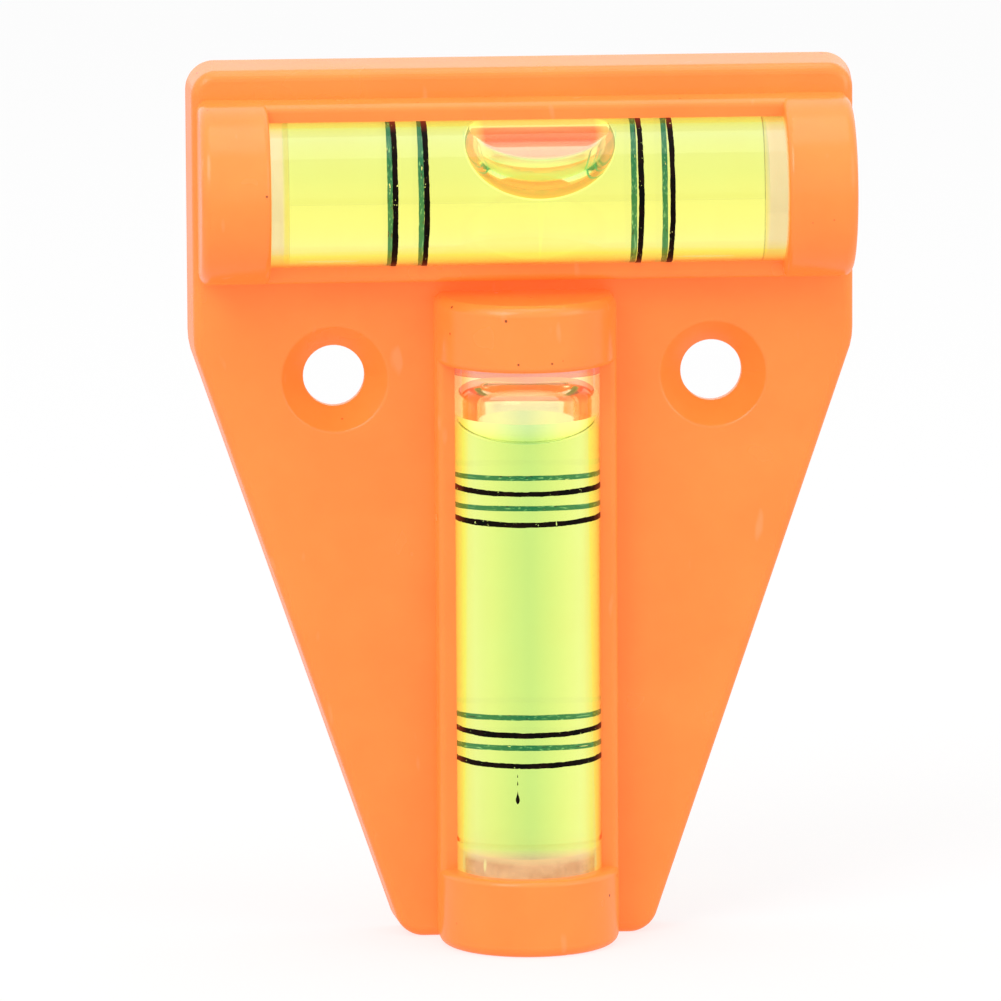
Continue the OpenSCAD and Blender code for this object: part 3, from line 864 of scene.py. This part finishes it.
def liquid_half_points(far_x, far_wall_x, columns=220, rows=64):
    """Grid of rings from one end of the cross bore to the middle of the bubble.
    In each ring, lines from a point low in the bore stop at the bore or at the bubble's lower face."""
    side = np.sign(far_x - BUBBLE_X)
    angle = full_turn(columns)[None, :]
    dy = np.sin(angle)
    dz = np.cos(angle)
    ring_share = np.sin(np.linspace(np.pi / 2, 0, rows))[:, None]
    ring_x = BUBBLE_X + side * (HALF_GAP + (BUBBLE_HALF_LEN + RINGS_PAST_BUBBLE) * ring_share)
    x = np.concatenate([[[far_wall_x]], ring_x])
    wall = np.concatenate([[BORE_END_R], np.full(rows, BORE_R)])[:, None]
    to_bore = far_hit(1.0, dz * LINES_FROM_UP, LINES_FROM_UP**2 - wall**2)
    up = LINES_FROM_UP - BUBBLE_MIDDLE_UP
    square = (dy / BUBBLE_HALF_DEEP) ** 2 + (dz / BUBBLE_HALF_HIGH) ** 2
    rest = ((x - BUBBLE_X) / BUBBLE_HALF_LEN) ** 2 + (up / BUBBLE_HALF_HIGH) ** 2 - 1
    to_bubble = near_hit(square, dz * up / BUBBLE_HALF_HIGH**2, rest)
    reach = nearer(to_bore, to_bubble, SOFT_EDGE)
    low_z = CROSS_AXIS_Z + LINES_FROM_UP
    ring_xyz = np.broadcast_arrays(x, AXIS_Y + reach * dy, low_z + reach * dz)
    body_rings = np.stack(ring_xyz, axis=-1)
    rim = body_rings[:1]
    flat_rim = np.concatenate([np.full_like(rim[..., :1], far_x), rim[..., 1:]], axis=-1)
    cap_middle = np.array([far_x, AXIS_Y, CROSS_AXIS_Z])
    cap_share = np.array(CAP_SHARES)[:, None, None]
    cap = cap_middle + (flat_rim - cap_middle) * cap_share * CAP_SIZE
    split_middle = np.array([BUBBLE_X + side * HALF_GAP, AXIS_Y, low_z])
    split = np.broadcast_to(split_middle, (1, columns, 3))
    return np.concatenate([cap, body_rings, split])


for side, inner_end, name in ((-1, CLOSED_END, "left"), (1, PLUG_END, "right")):
    end_x = CROSS_MIDDLE_X - inner_end
    half_points = liquid_half_points(end_x, end_x - side * WALL_FROM_END)
    piece = skin_piece(f"cross_liquid_{name}", half_points)
    dress_liquid(piece, "cross", "cross")

# %% [markdown]
# Four black rings are printed round each tube, two on each side of the middle, and a bubble between the
# inner two means true. The far half of a ring is seen through the dye, which makes it green, so its inner
# face has a painted green glow, with pale painted flecks. The ink is chipped in places, and it is painted
# red at the sides of the tube, as light it takes up from the orange channel.

# %% Ink of the rings
INK_BLACK = (0.002, 0.002, 0.001)
INK_WORN = (0.012, 0.004, 0.002)
INK_MARKS = (1800, 5000, 1500)
INK_ROUGHNESS = (0.35, 0.6)
INK_GLOSS = 0.05
# Painted orange light on the ink at the sides of the tube.
INK_EDGE_PAINTED_LIGHT = (0.16, 0.02, 0.008)
INK_EDGE_REACH = (4.36, 4.88)
VIAL_SIDES = {"cross": ("Z", CROSS_AXIS_Z), "stem": ("X", 0.0)}
CHIP_SCALE = 5000.0
CHIP_LEVEL = 0.69
INNER_CHIP_LEVEL = 0.64
CHIP_FADE = 0.04
# Painted glow of the dye on the inner face of the rings, with pale painted flecks of light.
INK_PAINTED_DYE_GLOW = (0.0, 0.20, 0.145)
INK_PAINTED_FLECK = (0.30, 0.62, 0.52)
FLECK_SCALE = 9000.0
FLECK_LEVEL = 0.57
FLECK_FADE = 0.12


def ink_material(name, vial, chip_level, painted_shine=None):
    """Matt black ink with tiny chips, painted redder at both sides of the tube with the orange plastic's
    light.
    painted_shine is a painted glow that stands for the dye in front of it, seen from inside the tube, with
    pale painted flecks."""
    material, tree, shader, place, marks = start_material(name, INK_MARKS)
    tint = colour_mix(tree, marks.outputs["Smudges"], INK_BLACK, INK_WORN)
    beside = ramp(tree, distance_along(tree, place, *VIAL_SIDES[vial]), *INK_EDGE_REACH)
    tree.links.new(colour_mix(tree, beside, tint, INK_EDGE_PAINTED_LIGHT), shader.inputs["Base Color"])
    tree.links.new(spread(tree, marks.outputs["Smudges"], *INK_ROUGHNESS), shader.inputs["Roughness"])
    shader.inputs["Specular IOR Level"].default_value = INK_GLOSS
    chips = add_node(tree, "ShaderNodeTexNoise", Scale=CHIP_SCALE)
    tree.links.new(place.outputs["Object"], chips.inputs["Vector"])
    ink_left = ramp(tree, chips.outputs["Fac"], chip_level + CHIP_FADE, chip_level)
    tree.links.new(ink_left, shader.inputs["Alpha"])
    if painted_shine is None:
        return material
    fine = add_node(tree, "ShaderNodeTexNoise", Scale=FLECK_SCALE)
    tree.links.new(place.outputs["Object"], fine.inputs["Vector"])
    flecks = ramp(tree, fine.outputs["Fac"], FLECK_LEVEL, FLECK_LEVEL + FLECK_FADE)
    tree.links.new(colour_mix(tree, flecks, painted_shine, INK_PAINTED_FLECK), shader.inputs["Emission Color"])
    shader.inputs["Emission Strength"].default_value = 1.0
    return material


inks = {vial: ink_material(f"black_ink_{vial}", vial, CHIP_LEVEL) for vial in VIAL_SIDES}
inner_inks = {
    vial: ink_material(f"black_ink_{vial}_inside", vial, INNER_CHIP_LEVEL, INK_PAINTED_DYE_GLOW)
    for vial in VIAL_SIDES
}
print("inks:", [ink.name for ink in (*inks.values(), *inner_inks.values())])

# %% [markdown]
# Printed ink is a thin skin whose edges wander. So each ring is a flat section of four corners carried
# round the tube, and each of its two edges is moved by many small sine waves of its own, the shorter
# the smaller.

# %% Printed rings
RING_PLACES = (-9.35, -7.25, 7.25, 9.35)
RING_NODES = {
    "cross": ("outer_right", "inner_right", "inner_left", "outer_left"),
    "stem": ("outer_bottom", "inner_bottom", "inner_top", "outer_top"),
}
RING_W = 0.37
INK_UNDER = 5.025
INK_OVER = 5.048
INK_WANDER = 0.045
WANDER_EVEN = 4
COLUMNS_PER_WAVE = 6


def ink_ring(place, seed, columns=720):
    """Section of four corners carried round the tube; its two edges each wander by many small sine waves."""
    angle = full_turn(columns)
    chance = np.random.default_rng(seed)
    waves = np.arange(1, columns // COLUMNS_PER_WAVE)
    size = chance.normal(size=(2, len(waves), 1)) * INK_WANDER / (WANDER_EVEN + waves[:, None])
    start = chance.uniform(0, 2 * np.pi, (2, len(waves), 1))
    wander = (size * np.sin(waves[:, None] * angle + start)).sum(axis=1)
    low = place - RING_W / 2 + wander[0]
    high = place + RING_W / 2 + wander[1]
    along = np.stack([low, high, high, low])
    radius = np.array([INK_UNDER, INK_UNDER, INK_OVER, INK_OVER])[:, None]
    return along, radius, angle[None, :]


for number, vial in enumerate(("cross", "stem")):
    for spot, (along_at, node) in enumerate(zip(RING_PLACES, RING_NODES[vial])):
        along, radius, angle = ink_ring(along_at, seed=10 * number + spot)
        ring = skin_piece(f"{vial}_ink_{node}", in_vial(vial, along, radius, angle), rows_join=True)
        ring.data.materials.append(inks[vial])
        ring.data.materials.append(inner_inks[vial])
        second_material_first(ring, angle.size)
        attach(ring, "level")
        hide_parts(f"{vial}_ring_{node}")

# %% [markdown]
# When the rings were printed, a little ink ran down the stem vial from the lowest ring. Each spot of it
# is a thin lens on the tube: wide in the lower part, closing to a point at both ends.

# %% Ink that ran
# Each spot's top along the vial, its length and its half width, in mm.
INK_SPOTS = ((-9.86, 0.30, 0.03), (-10.30, 0.40, 0.04), (-10.95, 1.05, 0.14))
INK_SPOT_ANGLE = np.radians(-12)


def ink_spot(top, length, half_width, rows=24, columns=24):
    """Lens on the tube: half_width times sin(pi * share * share), where share goes 0 to 1 from the top."""
    share = np.linspace(0, 1, rows)[:, None]
    turn = full_turn(columns)[None, :]
    swell = np.sin(np.pi * share**2)
    swell[-1] = 0
    angle = INK_SPOT_ANGLE + half_width * swell * np.cos(turn) / TUBE_R
    radius = (INK_UNDER + INK_OVER) / 2 + (INK_OVER - INK_UNDER) / 2 * swell * np.sin(turn)
    return top - length * share + 0 * turn, radius, angle


for number, (top, length, half_width) in enumerate(INK_SPOTS):
    along, radius, angle = ink_spot(top, length, half_width)
    spot = skin_piece(f"stem_ink_spot_{number}", in_vial("stem", along, radius, angle))
    spot.data.materials.append(inks["stem"])
    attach(spot, "level")

# %% [markdown]
# The plug that seals each vial is pressed in and welded, so it is almost lost in the tube: the same clear
# plastic with a barely different index shows a faint outline. The orange foot's light comes through the
# front of the stem's plug, and here it is painted: that half has a painted warm tint, cloudy in patches,
# with a few painted glints. It fades in below the flat top and towards the front, by place, so the plug's
# back stays clear.

# %% Plugs
PLUG_INDEX = 1.001
PLUG_MARKS = (500, 1500, 700)
PLUG_TOP_Z = STEM_MIDDLE_Z - 16.1
PLUG_TOP_REACH = (5.5, 1.0)
PLUG_SIDE_REACH = (0.02, 0.45)
PLUG_FRONT_FADE = 0.3
# A painted glint on the front of the stem's plug.
PLUG_PAINTED_GLINT = (1.0, 0.85, 0.55)
# Each plug's painted light: the tint at the front of its top, and the deep and cloudy tints of its side in
# front.
PLUG_FRONT_PAINTED_LIGHT = {
    "cross_vial_plug": (DYE_PALE, DYE_PALE, DYE_WARM),
    "stem_vial_plug": ((0.88, 0.52, 0.38), (0.60, 0.19, 0.13), (0.88, 0.38, 0.32)),
}


def plug_material(name, top, deep, cloudy):
    """Clear plastic that bends light hardly more than the tube round it.
    The orange light through its front half is painted: top tints the flat top, and deep and cloudy tint the
    side below, with painted glints."""
    material, tree, shader, place, marks = start_material(name, PLUG_MARKS)
    tint = colour_mix(tree, marks.outputs["Smudges"], DYE_PALE, DYE_WARM)
    from_front = distance_along(tree, place, "Y", AXIS_Y - BORE_END_R)
    top_tint = colour_mix(tree, ramp(tree, from_front, *PLUG_TOP_REACH), tint, top)
    below_top = ramp(tree, distance_along(tree, place, "Z", PLUG_TOP_Z), *PLUG_SIDE_REACH)
    cloud = colour_mix(tree, marks.outputs["Smudges"], deep, cloudy)
    painted_glint = colour_mix(tree, marks.outputs["Scratches"], cloud, PLUG_PAINTED_GLINT)
    side_tint = colour_mix(tree, below_top, top_tint, painted_glint)
    in_front = ramp(tree, from_front, BORE_END_R + PLUG_FRONT_FADE, BORE_END_R)
    tree.links.new(colour_mix(tree, in_front, top_tint, side_tint), shader.inputs["Base Color"])
    make_clear(shader, PLUG_INDEX)
    return material


for node, fronts in PLUG_FRONT_PAINTED_LIGHT.items():
    dress_node(node, plug_material(f"clear_{node}", *fronts))
print("plugs of index", PLUG_INDEX)

# %% [markdown]
# Four drops of glue hold the vials in the plate. Set glue is clear with cloudy patches, and duller where it
# is cloudy. The light of what the drops lie on is painted into them as tints, so each end of the vials has
# its own tints. They keep the solid model's shape.

# %% Glue
GLUE_MARKS = (900, 3000, 700)
GLUE_ROUGHNESS = (0.08, 0.25)
# Each drop's index of refraction, and the painted tints of its clear and cloudy parts, light of what lies
# round it.
CROSS_GLUE = (1.48, (1.0, 0.88, 0.80), (0.95, 0.82, 0.68))
GLUES = {
    "cross_glue_left": CROSS_GLUE,
    "cross_glue_right": CROSS_GLUE,
    "stem_glue_top": (1.48, (1.0, 0.46, 0.65), (1.0, 0.40, 0.52)),
    "stem_glue_bottom": (1.08, (1.0, 0.97, 0.95), (1.0, 0.94, 0.90)),
}


def glue_material(name, index, clear, cloudy):
    """Set glue: clear with cloudy patches, and duller where it is cloudy."""
    material, tree, shader, place, marks = start_material(name, GLUE_MARKS)
    tree.links.new(colour_mix(tree, marks.outputs["Smudges"], clear, cloudy), shader.inputs["Base Color"])
    make_clear(shader, index)
    tree.links.new(spread(tree, marks.outputs["Smudges"], *GLUE_ROUGHNESS), shader.inputs["Roughness"])
    return material


for node, recipe in GLUES.items():
    dress_node(node, glue_material(f"clear_{node}", *recipe))
print("drops of glue:", len(GLUES))
